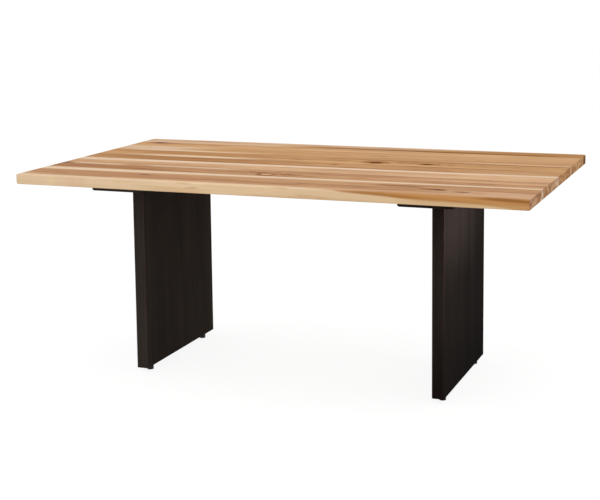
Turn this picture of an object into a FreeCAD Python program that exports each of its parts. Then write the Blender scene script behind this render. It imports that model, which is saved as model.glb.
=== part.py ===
import FreeCAD, Part
import math
import os

# Hickory table: an edge-glued plank top on two slab legs with screw levellers.
# Sizes are in millimetres. The origin is on the floor under the centre of the top,
# X runs along the boards, Y runs to the back and Z points up.

# Plank top
top_length = 1828.8
top_width = 1066.8
top_height = 762.0
top_thickness = 35.0
top_corner_radius = 9.0
top_arris_radius = 4.0
top_lower_chamfer = 2.5
# Board widths from the front edge to the back edge, as shares of the top's width
board_width_shares = (0.20, 0.12, 0.125, 0.10, 0.12, 0.125, 0.11, 0.10)

# Slab legs, each glued up from upright staves of equal width
leg_end_inset = 354.4
leg_thickness = 43.0
leg_width = 578.0
leg_corner_radius = 3.0
leg_foot_chamfer = 1.5
staves_per_leg = 4

# Cleats between the legs and the top
cleat_thickness = 23.0
cleat_width = 190.0
cleat_length = 914.4
cleat_corner_radius = 12.0
cleat_lower_chamfer = 4.0

# Bolts that hold the cleats to threaded inserts in the top, through slots along Y
bolt_diameter = 8.0
bolt_head_width = 13.0
bolt_head_height = 5.3
bolt_edge_margin = 37.0
bolt_end_margin = 57.2
bolt_tip_gap = 2.0
washer_diameter = 24.0
washer_thickness = 1.6
slot_clearance = 0.5
slot_travel = 5.0
top_insert_diameter = 12.0
top_insert_length = 18.0

# Loose tenons, one between each stave and the cleat above it
tenon_thickness = 14.0
tenon_width = 70.0
tenon_cleat_depth = 15.0
tenon_leg_depth = 30.0
tenon_end_gap = 1.0

# Levellers: a stud turns in an insert in the leg, and its pad slides with it without turning
leveller_inset = 62.0
leveller_travel = 12.0
leveller_engagement = 12.0
leveller_thread_diameter = 8.0
leveller_collar_width = 13.0
leveller_collar_height = 6.0
leveller_insert_diameter = 12.0
leveller_tip_gap = 1.0
pad_height = 14.0
pad_diameter = 24.5
pad_base_chamfer = 1.2
pin_diameter = 6.0
pin_length = 9.0
pin_end_gap = 0.3

# Fits that several pieces share
glue_clearance = 0.1
thread_clearance = 0.05
cut_overrun = 5.0

# Levels and places that follow from the sizes above
top_underside = top_height - top_thickness
cleat_underside = top_underside - cleat_thickness
leg_underside = pad_height + leveller_collar_height
stave_width = leg_width / staves_per_leg
leg_offset = top_length / 2 - leg_end_inset
leg_places = {"left": -leg_offset, "right": leg_offset}
bolt_side_offset = cleat_width / 2 - bolt_edge_margin
bolt_end_offset = cleat_length / 2 - bolt_end_margin
washer_underside = cleat_underside - washer_thickness
leveller_offset = leg_width / 2 - leveller_inset
leveller_places = {"front": -leveller_offset, "back": leveller_offset}
leveller_thread_length = leveller_travel + leveller_engagement
leveller_insert_end = leg_underside + leveller_thread_length + leveller_tip_gap

# Threads, threaded inserts and washers are drawn with this many sides
thread_sides = 12


def block(x_low, x_high, y_low, y_high, z_low, z_high):
    """A plain box between two corners."""
    corner = FreeCAD.Vector(x_low, y_low, z_low)
    return Part.makeBox(x_high - x_low, y_high - y_low, z_high - z_low, corner)


def rod(diameter, x, y, z_low, z_high):
    """An upright cylinder between two levels."""
    return Part.makeCylinder(diameter / 2, z_high - z_low, FreeCAD.Vector(x, y, z_low))


def slot(diameter, travel, x, y, z_low, z_high):
    """An upright slot cutter that runs the same travel to the front and to the back."""
    near_end = rod(diameter, x, y - travel, z_low, z_high)
    far_end = rod(diameter, x, y + travel, z_low, z_high)
    middle = block(x - diameter / 2, x + diameter / 2, y - travel, y + travel, z_low, z_high)
    return near_end.fuse([far_end, middle]).removeSplitter()


def prism(sides, corner_diameter, x, y, z_low, z_high):
    """An upright prism with equal sides, measured across its corners."""
    corners = []
    for corner_number in range(sides + 1):
        angle = math.radians(360 * corner_number / sides)
        corner_x = x + corner_diameter / 2 * math.cos(angle)
        corner_y = y + corner_diameter / 2 * math.sin(angle)
        corners.append(FreeCAD.Vector(corner_x, corner_y, z_low))
    face = Part.Face(Part.makePolygon(corners))
    return face.extrude(FreeCAD.Vector(0, 0, z_high - z_low))


def hexagon(width, x, y, z_low, z_high):
    """An upright six-sided prism, measured across its flats."""
    return prism(6, width / math.cos(math.radians(30)), x, y, z_low, z_high)


def thread(diameter, x, y, z_low, z_high):
    """A plain stand-in for a thread, with its corners on the thread's outside."""
    return prism(thread_sides, diameter, x, y, z_low, z_high)


def sleeve(outside, inside, x, y, z_low, z_high):
    """A threaded insert or a washer: a tube whose flats clear the thread inside it."""
    across_corners = inside / math.cos(math.radians(180 / thread_sides))
    hole = prism(thread_sides, across_corners, x, y, z_low - cut_overrun, z_high + cut_overrun)
    return prism(thread_sides, outside, x, y, z_low, z_high).cut(hole)


def level_edges(solid, level):
    """The edges of a solid that lie flat at one level."""
    lowest = solid.BoundBox.ZMin
    highest = solid.BoundBox.ZMax
    nearness = (highest - lowest) / 1000
    found = []
    for edge in solid.Edges:
        box = edge.BoundBox
        if box.ZLength < nearness and abs(box.ZMin - level) < nearness:
            found.append(edge)
    return found


def upright_edges(solid):
    """The edges of a solid that run its full height."""
    return [edge for edge in solid.Edges if edge.BoundBox.ZLength > solid.BoundBox.ZLength / 2]


def eased_slab(x_middle, x_size, y_size, z_low, z_high, corner_radius, lower_chamfer):
    """A slab with rounded upright corners and a chamfered lower arris."""
    x_low = x_middle - x_size / 2
    slab = block(x_low, x_low + x_size, -y_size / 2, y_size / 2, z_low, z_high)
    slab = slab.makeFillet(corner_radius, upright_edges(slab))
    return slab.makeChamfer(lower_chamfer, level_edges(slab, z_low))


def strips(solid, y_edges):
    """A solid sawn into strips at the given places across Y."""
    box = solid.BoundBox
    found = []
    for y_low, y_high in zip(y_edges[:-1], y_edges[1:]):
        keep = block(box.XMin - cut_overrun, box.XMax + cut_overrun, y_low, y_high,
                     box.ZMin - cut_overrun, box.ZMax + cut_overrun)
        found.append(solid.common(keep).Solids[0])
    return found


def bolt_places():
    """The bolt centres: one on each side of a leg, near each end of its cleat."""
    places = []
    for leg_x in leg_places.values():
        for side in (-1, 1):
            for end in (-1, 1):
                places.append((leg_x + side * bolt_side_offset, end * bolt_end_offset))
    return places


def stave_edges():
    """The places across Y where one stave ends and the next begins."""
    return [-leg_width / 2 + stave_width * number for number in range(staves_per_leg + 1)]


def tenon(leg_x, y_middle, gap, low, high):
    """A loose tenon between two levels, or its mortise when it gets a gap."""
    half_thickness = tenon_thickness / 2 + gap
    half_width = tenon_width / 2 + gap
    return block(leg_x - half_thickness, leg_x + half_thickness,
                 y_middle - half_width, y_middle + half_width, low, high)


def mortises(leg_x, low, high):
    """The mortises in the middle of each stave of a leg, between two levels."""
    middles = [edge + stave_width / 2 for edge in stave_edges()[:-1]]
    return [tenon(leg_x, y_middle, glue_clearance, low, high) for y_middle in middles]


# Plank top

def board_edges():
    """The places across Y where one board ends and the next begins."""
    edges = [-top_width / 2]
    for share in board_width_shares:
        edges.append(edges[-1] + share * top_width / sum(board_width_shares))
    return edges


def make_boards():
    """The boards of the top, with the bores for the threaded inserts."""
    top = eased_slab(0, top_length, top_width, top_underside, top_height,
                     top_corner_radius, top_lower_chamfer)
    top = top.makeFillet(top_arris_radius, level_edges(top, top_height))
    bore = top_insert_diameter + 2 * thread_clearance
    bore_end = top_underside + top_insert_length
    bores = [rod(bore, x, y, top_underside - cut_overrun, bore_end) for x, y in bolt_places()]
    return strips(top.cut(bores), board_edges())


def make_top_inserts():
    """The threaded inserts, flush with the underside of the top."""
    high = top_underside + top_insert_length
    hole = bolt_diameter + 2 * thread_clearance
    sleeves = [sleeve(top_insert_diameter, hole, x, y, top_underside, high)
               for x, y in bolt_places()]
    return Part.makeCompound(sleeves)


# Cleats

def make_cleat(leg_x):
    """A cleat with a slot for each bolt and a mortise over each stave."""
    cleat = eased_slab(leg_x, cleat_width, cleat_length, cleat_underside, top_underside,
                       cleat_corner_radius, cleat_lower_chamfer)
    hole = bolt_diameter + 2 * slot_clearance
    cutters = mortises(leg_x, cleat_underside - cut_overrun, cleat_underside + tenon_cleat_depth)
    for x, y in bolt_places():
        if abs(x - leg_x) < cleat_width:
            cutters.append(slot(hole, slot_travel, x, y, cleat_underside - cut_overrun,
                                top_underside + cut_overrun))
    return cleat.cut(cutters)


def make_leg_tenons():
    """The loose tenons, glued into each stave and the cleat above it."""
    low = cleat_underside - tenon_leg_depth
    high = cleat_underside + tenon_cleat_depth - tenon_end_gap
    middles = [edge + stave_width / 2 for edge in stave_edges()[:-1]]
    tenons = [tenon(leg_x, y_middle, 0, low, high)
              for leg_x in leg_places.values() for y_middle in middles]
    return Part.makeCompound(tenons)


# Bolts and washers

def make_top_bolts():
    """Six-sided bolts, each from its washer up into its insert."""
    tip = top_underside + top_insert_length - bolt_tip_gap
    bolts = []
    for x, y in bolt_places():
        head = hexagon(bolt_head_width, x, y, washer_underside - bolt_head_height, washer_underside)
        shank = thread(bolt_diameter, x, y, washer_underside, tip)
        bolts.append(head.fuse(shank).removeSplitter())
    return Part.makeCompound(bolts)


def make_bolt_washers():
    """Flat washers that bridge the slots in the cleats."""
    hole = bolt_diameter + 2 * slot_clearance
    washers = [sleeve(washer_diameter, hole, x, y, washer_underside, cleat_underside)
               for x, y in bolt_places()]
    return Part.makeCompound(washers)


# Slab legs

def make_staves(leg_x):
    """The staves of a leg, with their mortises and the bores for the leveller inserts."""
    leg = eased_slab(leg_x, leg_thickness, leg_width, leg_underside, cleat_underside,
                     leg_corner_radius, leg_foot_chamfer)
    cutters = mortises(leg_x, cleat_underside - tenon_leg_depth, cleat_underside + cut_overrun)
    bore = leveller_insert_diameter + 2 * thread_clearance
    for y in leveller_places.values():
        cutters.append(rod(bore, leg_x, y, leg_underside - cut_overrun, leveller_insert_end))
    return strips(leg.cut(cutters), stave_edges())


def make_leveller_inserts():
    """The threaded inserts in the feet of the legs."""
    hole = leveller_thread_diameter + 2 * thread_clearance
    sleeves = [sleeve(leveller_insert_diameter, hole, leg_x, y, leg_underside, leveller_insert_end)
               for leg_x in leg_places.values() for y in leveller_places.values()]
    return Part.makeCompound(sleeves)


# Levellers

def make_stud(x, y):
    """A leveller's stud: its thread, six-sided collar and the pin that turns in its pad."""
    tip = leg_underside + leveller_thread_length
    screw = thread(leveller_thread_diameter, x, y, leg_underside, tip)
    collar = hexagon(leveller_collar_width, x, y, pad_height, leg_underside)
    pin = rod(pin_diameter, x, y, pad_height - pin_length, pad_height)
    return collar.fuse([screw, pin]).removeSplitter()


def make_pad(x, y):
    """A leveller's round pad, with the blind hole that the stud's pin turns in."""
    pad = rod(pad_diameter, x, y, 0, pad_height)
    pad = pad.makeChamfer(pad_base_chamfer, level_edges(pad, 0))
    hole_end = pad_height - pin_length - pin_end_gap
    return pad.cut(rod(pin_diameter + 2 * thread_clearance, x, y, hole_end, pad_height + cut_overrun))


def make_nodes():
    """Every piece by its name."""
    nodes = {}
    for number, board in enumerate(make_boards(), 1):
        nodes[f"top_board_{number}"] = board
    nodes["top_inserts"] = make_top_inserts()
    nodes["top_bolts"] = make_top_bolts()
    nodes["bolt_washers"] = make_bolt_washers()
    nodes["leg_tenons"] = make_leg_tenons()
    nodes["leveller_inserts"] = make_leveller_inserts()
    for side, leg_x in leg_places.items():
        nodes[f"{side}_cleat"] = make_cleat(leg_x)
        for number, stave in enumerate(make_staves(leg_x), 1):
            nodes[f"{side}_leg_stave_{number}"] = stave
        for end, y in leveller_places.items():
            nodes[f"{side}_{end}_stud"] = make_stud(leg_x, y)
            nodes[f"{side}_{end}_pad"] = make_pad(leg_x, y)
    return nodes


os.makedirs("parts", exist_ok=True)
for name, shape in make_nodes().items():
    shape.exportStep(f"parts/{name}.step")
    print(name, len(shape.Solids), round(shape.Volume), shape.isValid())
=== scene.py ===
"""The looks of a hickory table: a glued plank top on two black slab legs with screw levellers."""

import logging
import math
from collections.abc import Callable, Iterator
from contextlib import contextmanager
from dataclasses import dataclass
from enum import Enum

import bmesh
import bpy
from mathutils import Matrix, Vector


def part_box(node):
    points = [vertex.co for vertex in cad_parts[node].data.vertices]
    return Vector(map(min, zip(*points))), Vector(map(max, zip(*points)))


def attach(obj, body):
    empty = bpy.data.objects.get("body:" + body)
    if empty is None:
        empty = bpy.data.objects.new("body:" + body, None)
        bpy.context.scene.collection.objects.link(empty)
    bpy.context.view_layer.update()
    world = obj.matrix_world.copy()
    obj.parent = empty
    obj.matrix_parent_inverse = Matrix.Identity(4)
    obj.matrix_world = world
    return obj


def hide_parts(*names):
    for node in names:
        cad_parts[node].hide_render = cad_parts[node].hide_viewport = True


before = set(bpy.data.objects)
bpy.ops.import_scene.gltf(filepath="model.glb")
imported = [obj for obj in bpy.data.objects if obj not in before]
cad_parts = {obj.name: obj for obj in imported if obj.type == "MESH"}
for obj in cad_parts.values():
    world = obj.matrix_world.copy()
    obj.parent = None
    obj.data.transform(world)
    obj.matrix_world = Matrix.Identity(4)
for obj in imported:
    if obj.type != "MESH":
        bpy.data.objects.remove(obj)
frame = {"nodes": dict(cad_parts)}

LOG = logging.getLogger("hickory_table")

# How far a leg's middle lies from the table's, within what distance two places are one, how
# upright a flat face's normal is, and from what share of a radius a place is on the rim.
LEG_PLACE = 0.560
TOUCH = 0.000001
FLAT = 0.99
RIM = 0.98

Colour = tuple[float, float, float]
Piece = bpy.types.Object


# Named places and directions


class Grain(Enum):
    """The axis that the fibres of a piece of wood run along, then the other two."""

    ALONG_TOP = (0, 1, 2)
    ALONG_CLEAT = (1, 0, 2)
    UP_LEG = (2, 1, 0)


class Side(Enum):
    """The left or the right leg, by the sign of its X."""

    LEFT = -1
    RIGHT = 1


class End(Enum):
    """The front or the back end of a leg, by the sign of its Y."""

    FRONT = -1
    BACK = 1


def corners() -> Iterator[tuple[Side, End, str]]:
    """Goes round the four corners of the table.

    Yields:
        The leg's side, its end and the name that the corner's pieces begin with.
    """
    for side in Side:
        for end in End:
            yield side, end, f"{side.name.lower()}_{end.name.lower()}"


# Finishes: the nodes behind them


def linear(colour: Colour) -> tuple[float, float, float, float]:
    """Turns a colour as a paint chart gives it into the values a shader reads.

    Args:
        colour: Red, green and blue from 0 to 255.

    Returns:
        Red, green and blue on a linear scale from 0 to 1, and full opacity.
    """
    parts = []
    for part in colour:
        share = part / 255
        parts.append(share / 12.92 if share <= 0.04045 else ((share + 0.055) / 1.055) ** 2.4)
    return parts[0], parts[1], parts[2], 1.0


def add_node(tree: bpy.types.NodeTree, kind: str, settings: dict[str, object] | None = None,
             inputs: dict[str | int, object] | None = None) -> bpy.types.Node:
    """Adds one node to a material or to the surround.

    Args:
        tree: The nodes that it joins.
        kind: The node's type.
        settings: Properties of the node itself.
        inputs: Plain values for its sockets, or the outputs that feed them, by name or number.

    Returns:
        The node.
    """
    made = tree.nodes.new(kind)
    for name, value in (settings or {}).items():
        setattr(made, name, value)
    for name, value in (inputs or {}).items():
        if isinstance(value, bpy.types.NodeSocket):
            tree.links.new(value, made.inputs[name])
        else:
            made.inputs[name].default_value = value
    return made


class Signal:
    """A value that varies over a piece, with the sums that a finish is worked out from."""

    def __init__(self, recipe: "Recipe", socket: bpy.types.NodeSocket) -> None:
        """Keeps the node socket that gives the value."""
        self.recipe = recipe
        self.socket = socket

    def __add__(self, other: "Signal | float") -> "Signal":
        """This value plus another."""
        return self.recipe.sum("ADD", self, other)

    def __sub__(self, other: "Signal | float") -> "Signal":
        """This value less another."""
        return self.recipe.sum("SUBTRACT", self, other)

    def __rsub__(self, other: float) -> "Signal":
        """A plain number less this value."""
        return self.recipe.sum("SUBTRACT", other, self)

    def __mul__(self, other: "Signal | float") -> "Signal":
        """This value times another."""
        return self.recipe.sum("MULTIPLY", self, other)

    def __truediv__(self, other: "Signal | float") -> "Signal":
        """This value divided by another."""
        return self.recipe.sum("DIVIDE", self, other)

    def __abs__(self) -> "Signal":
        """This value without its sign."""
        return self.recipe.sum("ABSOLUTE", self)

    def power(self, exponent: float) -> "Signal":
        """This value raised to a power."""
        return self.recipe.sum("POWER", self, exponent)

    def fraction(self) -> "Signal":
        """The part of this value after the point."""
        return self.recipe.sum("FRACT", self)

    def fading(self) -> "Signal":
        """1 where this value is 0, falling off smoothly as it grows."""
        return self.recipe.sum("EXPONENT", 0.0 - self)

    def larger(self, other: "Signal | float") -> "Signal":
        """The larger of two values."""
        return self.recipe.sum("MAXIMUM", self, other)

    def rise(self, low: float, high: float) -> "Signal":
        """A smooth step between two values.

        Args:
            low: Where the step leaves 0.
            high: Where the step reaches 1. Below low, the step falls instead.

        Returns:
            A value from 0 to 1.
        """
        falls = high < low
        inputs = {"Value": self, "From Min": min(low, high), "From Max": max(low, high),
                  "To Min": 1.0 if falls else 0.0, "To Max": 0.0 if falls else 1.0}
        node = self.recipe.node("ShaderNodeMapRange", {"interpolation_type": "SMOOTHSTEP"}, inputs)
        return Signal(self.recipe, node.outputs["Result"])


class Figure(dict[str, Signal]):
    """The grain or the texture of one piece: the signals of its finish, by name."""

    def blend(self, base: float, **weights: float) -> Signal:
        """A base value plus some of the signals.

        Args:
            base: The value where the signals are 0.
            weights: How strongly each signal counts, by its name.

        Returns:
            The sum.
        """
        first, *others = (self[name] * weight for name, weight in weights.items())
        for part in others:
            first = first + part
        return first + base if base else first


@dataclass(frozen=True)
class Layer:
    """A layer of random variation in a material, stretched along its fibres.

    It has so many changes a metre along the fibres and across them, an offset that keeps it
    unlike the piece's other layers, and a number of finer layers of some roughness on top.
    """

    along: float
    across: float
    offset: float = 0.0
    detail: float = 2.0
    roughness: float = 0.55


class Recipe:
    """One procedural material, worked out from the places on the piece itself."""

    SIDE_SHIFT = 0.37
    DEPTH_SHIFT = 0.71
    NOISE_MIDDLE = 0.5
    NOISE_GAIN = 1.7
    END_LIMITS = (0.55, 0.95)

    def __init__(self, name: str, grain: Grain = Grain.ALONG_TOP) -> None:
        """Starts an empty material.

        Args:
            name: The material's name.
            grain: The direction of the fibres.
        """
        self.material = bpy.data.materials.new(name)
        self.material.use_nodes = True
        self.tree = self.material.node_tree
        self.tree.nodes.clear()
        self.frame = self.node("ShaderNodeTexCoord")
        parts = self.node("ShaderNodeSeparateXYZ", inputs={0: self.frame.outputs["Object"]})
        self.x, self.y, self.z = (Signal(self, output) for output in parts.outputs)
        axes = (self.x, self.y, self.z)
        self.along, self.across, self.through = (axes[number] for number in grain.value)

    def node(self, kind: str, settings: dict[str, object] | None = None,
             inputs: dict[str | int, object] | None = None) -> bpy.types.Node:
        """Adds one node to the material.

        Args:
            kind: The node's type.
            settings: Properties of the node itself.
            inputs: Values or signals for its sockets, by name or number.

        Returns:
            The node.
        """
        plain = {name: value.socket if isinstance(value, Signal) else value
                 for name, value in (inputs or {}).items()}
        return add_node(self.tree, kind, settings, plain)

    def sum(self, operation: str, *values: Signal | float) -> Signal:
        """One sum of values, by the name of its operation."""
        node = self.node("ShaderNodeMath", {"operation": operation}, dict(enumerate(values)))
        return Signal(self, node.outputs[0])

    def fibres(self, layer: Layer, shift: float = 0.0) -> Signal:
        """Random variation stretched along the fibres.

        Args:
            layer: How fine it is each way.
            shift: Moves the pattern, so that no two pieces are alike.

        Returns:
            A value about 0, mostly between -0.5 and 0.5.
        """
        moved = shift + layer.offset
        place = self.node("ShaderNodeCombineXYZ", inputs={
            0: self.along * layer.along + moved,
            1: self.across * layer.across + moved * self.SIDE_SHIFT,
            2: self.through * layer.across + moved * self.DEPTH_SHIFT,
        })
        noise = self.node("ShaderNodeTexNoise", inputs={
            "Vector": place.outputs[0], "Scale": 1.0, "Detail": layer.detail,
            "Roughness": layer.roughness,
        })
        return (Signal(self, noise.outputs[0]) - self.NOISE_MIDDLE) * self.NOISE_GAIN

    def figure(self, layers: dict[str, Layer], shift: float = 0.0) -> Figure:
        """The random variation of several layers, by their names."""
        return Figure({name: self.fibres(layer, shift) for name, layer in layers.items()})

    def course(self, share: Signal, points: tuple[tuple[float, float], ...]) -> Signal:
        """A value that follows a line drawn through points.

        Args:
            share: Where on the line, from 0 to 1.
            points: The line's points, each a share and its value from 0 to 1.

        Returns:
            The line's value.
        """
        node = self.node("ShaderNodeFloatCurve", inputs={"Value": share})
        line = node.mapping.curves[0]
        for number, (place, value) in enumerate(points):
            if number < len(line.points):
                line.points[number].location = (place, value)
            else:
                line.points.new(place, value)
        node.mapping.update()
        return Signal(self, node.outputs[0])

    def ramp(self, share: Signal, *colours: Colour) -> Signal:
        """Colours at equal steps from 0 to 1, blended between.

        Args:
            share: Where between the first colour and the last.
            colours: The colours in their order.

        Returns:
            The blended colour.
        """
        node = self.node("ShaderNodeValToRGB", inputs={0: share})
        stops = node.color_ramp.elements
        for number in range(1, len(colours) - 1):
            stops.new(number / (len(colours) - 1))
        for stop, colour in zip(stops, colours):
            stop.color = linear(colour)
        return Signal(self, node.outputs[0])

    def coat(self, under: Signal | Colour, over: Signal | Colour, share: Signal | float) -> Signal:
        """One colour laid over another.

        Args:
            under: The colour below.
            over: The colour on top.
            share: How much of the top colour covers.

        Returns:
            The blended colour.
        """
        tints = [tint if isinstance(tint, Signal) else linear(tint) for tint in (under, over)]
        node = self.node("ShaderNodeMix", {"data_type": "RGBA", "clamp_factor": True},
                         {0: share, 6: tints[0], 7: tints[1]})
        return Signal(self, node.outputs[2])

    def shade(self, colour: Signal | Colour, amount: Signal) -> Signal:
        """A colour made lighter or darker by a factor that varies.

        Args:
            colour: The colour.
            amount: The factor.

        Returns:
            The changed colour.
        """
        tint = colour if isinstance(colour, Signal) else linear(colour)[:3]
        node = self.node("ShaderNodeVectorMath", {"operation": "SCALE"},
                         {0: tint, "Scale": amount})
        return Signal(self, node.outputs[0])

    def end_grain(self) -> Signal:
        """1 on faces that cut across the fibres, 0 on faces along them.

        Returns:
            A value from 0 to 1.
        """
        normal = self.node("ShaderNodeSeparateXYZ", inputs={0: self.frame.outputs["Normal"]})
        axis = (self.x, self.y, self.z).index(self.along)
        return abs(Signal(self, normal.outputs[axis])).rise(*self.END_LIMITS)

    def finish(self, colour: Signal, roughness: Signal, height: Signal, depth: float,
               plain: dict[str, float]) -> bpy.types.Material:
        """Ends the material in its shader.

        Args:
            colour: The surface colour.
            roughness: The surface roughness.
            height: The relief, about 0.
            depth: How deep a relief of 1 is, in metres.
            plain: Values that are the same all over, by the names of their sockets.

        Returns:
            The finished material.
        """
        bump = self.node("ShaderNodeBump",
                         inputs={"Height": height, "Distance": depth, "Strength": 1.0})
        shader = self.node("ShaderNodeBsdfPrincipled", inputs={
            "Base Color": colour, "Roughness": roughness, "Normal": bump.outputs[0], **plain,
        })
        self.node("ShaderNodeOutputMaterial", inputs={"Surface": shader.outputs[0]})
        return self.material


# Finishes: what the hickory shows


@dataclass(frozen=True)
class TopPlan:
    """The table surface, on which the figure of the wood is laid out.

    Shares along it run from 0 at the left end to 1 at the right end, and shares across it
    run from 0 at the back edge to 1 at the front edge.
    """

    length: float = 1.8288
    width: float = 1.0668
    height: float = 0.762
    thickness: float = 0.035

    def x(self, share: float) -> float:
        """The X of a share of the length."""
        return (share - 0.5) * self.length

    def y(self, share: float) -> float:
        """The Y of a share of the width."""
        return (0.5 - share) * self.width


class Timber(Recipe):
    """The material of one board: its grain, and the colour that its features are laid over."""

    def __init__(self, name: str, plan: TopPlan, layers: dict[str, Layer], shift: float) -> None:
        """Starts the material of a board.

        Args:
            name: The material's name.
            plan: The table surface.
            layers: The layers of random variation, by name.
            shift: Moves the layers, so that no two boards are alike.
        """
        super().__init__(name)
        self.plan = plan
        self.grain = self.figure(layers, shift)
        self.share = self.x / plan.length + 0.5
        self.depth = plan.height - self.z
        self.level = self.depth / plan.thickness
        self.colour: Signal | Colour = (0.0, 0.0, 0.0)

    def lay(self, tint: Signal | Colour, cover: Signal | float) -> None:
        """Lays a tint over the colour so far, as far as it covers."""
        self.colour = self.coat(self.colour, tint, cover)


@dataclass(frozen=True)
class Streak:
    """A stripe of pale sapwood, of darker wood or of painted shade, that runs along a board.

    Its back and front edges are shares across the top, at the top's left and right ends, and
    the right pair is given only where it differs. It starts and stops at shares along the top.
    """

    colour: Colour
    left: tuple[float, float]
    right: tuple[float, float] | None = None
    start: float = -1.0
    stop: float = 2.0
    fade: float = 0.05
    softness: float = 0.0035
    strength: float = 1.0
    slant: float = 0.0
    spread: float = 0.0
    raggedness: float = 0.9

    def cover(self, timber: Timber) -> Signal:
        """Where the streak shows, from 0 to 1, with its ends drawn out into points.

        Args:
            timber: The board that it is part of.

        Returns:
            A value from 0 to 1.
        """
        plan, pairs = timber.plan, (self.left, self.right or self.left)
        middles = [plan.y(sum(pair) / 2) for pair in pairs]
        halves = [abs(pair[1] - pair[0]) * plan.width / 2 for pair in pairs]
        middle = timber.share * (middles[1] - middles[0]) + middles[0] + timber.depth * self.slant
        half = timber.share * (halves[1] - halves[0]) + halves[0] + timber.depth * self.spread
        across = timber.grain["across"]
        cover = (half - abs(across - middle)).rise(-self.softness, self.softness)
        ragged = timber.share + timber.grain["threads"] * self.fade * self.raggedness
        if self.start > 0:
            cover = cover * ragged.rise(self.start - self.fade / 2, self.start + self.fade / 2)
        if self.stop < 1:
            cover = cover * ragged.rise(self.stop + self.fade / 2, self.stop - self.fade / 2)
        return cover * self.strength


@dataclass(frozen=True)
class Spot:
    """A small feature of the figure: its place as shares of the top and its size in metres."""

    along: float
    across: float
    length: float
    width: float

    def distance(self, timber: Timber) -> Signal:
        """How far a place lies from the spot's middle, where its own edge is at 1.

        Args:
            timber: The board that it is part of.

        Returns:
            The distance, as a share of the spot's own half size.
        """
        off_x = (timber.x - timber.plan.x(self.along)) / (self.length / 2)
        off_y = (timber.y - timber.plan.y(self.across)) / (self.width / 2)
        return (off_x * off_x + off_y * off_y).power(0.5)

    def lay(self, timber: Timber) -> None:
        """Lays the spot over its board's colour."""
        raise NotImplementedError


@dataclass(frozen=True)
class Knot(Spot):
    """A knot, or the swirl of grain about one."""

    core: Colour = (84, 40, 8)
    rim: Colour = (146, 92, 40)
    strength: float = 1.0
    swirl: float = 0.012
    swirl_fall: float = 0.14
    fray: float = 0.5
    rim_fade: tuple[float, float] = (2.6, 0.9)
    rim_share: float = 0.75
    core_fade: tuple[float, float] = (1.15, 0.65)

    def bulge(self, timber: Timber) -> Signal:
        """How far the growth rings bulge about the knot, in metres."""
        return (self.distance(timber).power(2.0) * self.swirl_fall).fading() * self.swirl

    def lay(self, timber: Timber) -> None:
        """Lays the rim and then the core over the board's colour.

        Args:
            timber: The board's material.
        """
        distance = self.distance(timber) + timber.grain["threads"] * self.fray
        timber.lay(self.rim, distance.rise(*self.rim_fade) * self.strength * self.rim_share)
        timber.lay(self.core, distance.rise(*self.core_fade) * self.strength)


@dataclass(frozen=True)
class Mark(Spot):
    """A dark mineral mark, drawn out along the grain and broken up along its fibres."""

    colour: Colour = (122, 78, 52)
    strength: float = 0.8
    fray: float = 0.9
    fade: tuple[float, float] = (1.15, 0.35)

    def lay(self, timber: Timber) -> None:
        """Lays the mark over the board's colour."""
        distance = self.distance(timber) + timber.grain["threads"] * self.fray
        timber.lay(self.colour, distance.rise(*self.fade) * self.strength)


@dataclass(frozen=True)
class Eye(Spot):
    """A small eye in the figure: a pale middle with a dark line of grain about it."""

    line: Colour = (112, 64, 26)
    middle: Colour = (210, 168, 128)
    strength: float = 0.85
    fray: float = 0.8
    line_fade: tuple[float, float] = (0.42, 0.12)
    middle_fade: tuple[float, float] = (0.95, 0.45)

    def lay(self, timber: Timber) -> None:
        """Lays the middle and then the line over the board's colour.

        Args:
            timber: The board's material.
        """
        distance = self.distance(timber)
        frayed = abs(distance + timber.grain["threads"] * self.fray - 1.0)
        timber.lay(self.middle, distance.rise(*self.middle_fade) * self.strength)
        timber.lay(self.line, frayed.rise(*self.line_fade) * self.strength)


@dataclass(frozen=True)
class SapEdge:
    """Sapwood along the front edge of the top, whose limit wanders down the front face.

    The line gives the share of the face's height at which the sapwood begins, from the top
    arris at 0.2 to the bottom arris at 0.9, along the length of the top.
    """

    colour: Colour
    line: tuple[tuple[float, float], ...]
    reach: float = 0.055
    arris_level: float = 0.2
    foot_level: float = 0.9
    softness: float = 0.06

    def cover(self, timber: Timber) -> Signal:
        """Where the sapwood shows, from 0 to 1.

        Args:
            timber: The board that it is part of.

        Returns:
            A value from 0 to 1.
        """
        level = timber.course(timber.share, self.line) - self.arris_level
        limit = level / (self.foot_level - self.arris_level)
        behind = (timber.grain["across"] - timber.plan.y(1.0)) / self.reach
        return (timber.level - limit - behind).rise(-self.softness, self.softness)


@dataclass(frozen=True)
class Vein:
    """A line or a cloud of other wood on the front face, which slopes across its height.

    Its level and its half height are shares of the face's height, counted from the top arris,
    and it drops by a share of that height from where it starts to where it stops.
    """

    colour: Colour
    start: float
    stop: float
    level: float
    drop: float
    half: float
    softness: float = 0.10
    fade: float = 0.03
    strength: float = 0.8
    waver: float = 0.15

    def cover(self, timber: Timber) -> Signal:
        """Where the vein shows on the front face, from 0 to 1.

        Args:
            timber: The board that it is part of.

        Returns:
            A value from 0 to 1.
        """
        slope = self.drop / (self.stop - self.start)
        middle = (timber.share - self.start) * slope + self.level
        off = abs(timber.level - middle + timber.grain["threads"] * self.waver)
        ends = timber.share.rise(self.start - self.fade, self.start + self.fade) \
            * timber.share.rise(self.stop + self.fade, self.stop - self.fade)
        return off.rise(self.half + self.softness, self.half) * ends * self.strength


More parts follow.
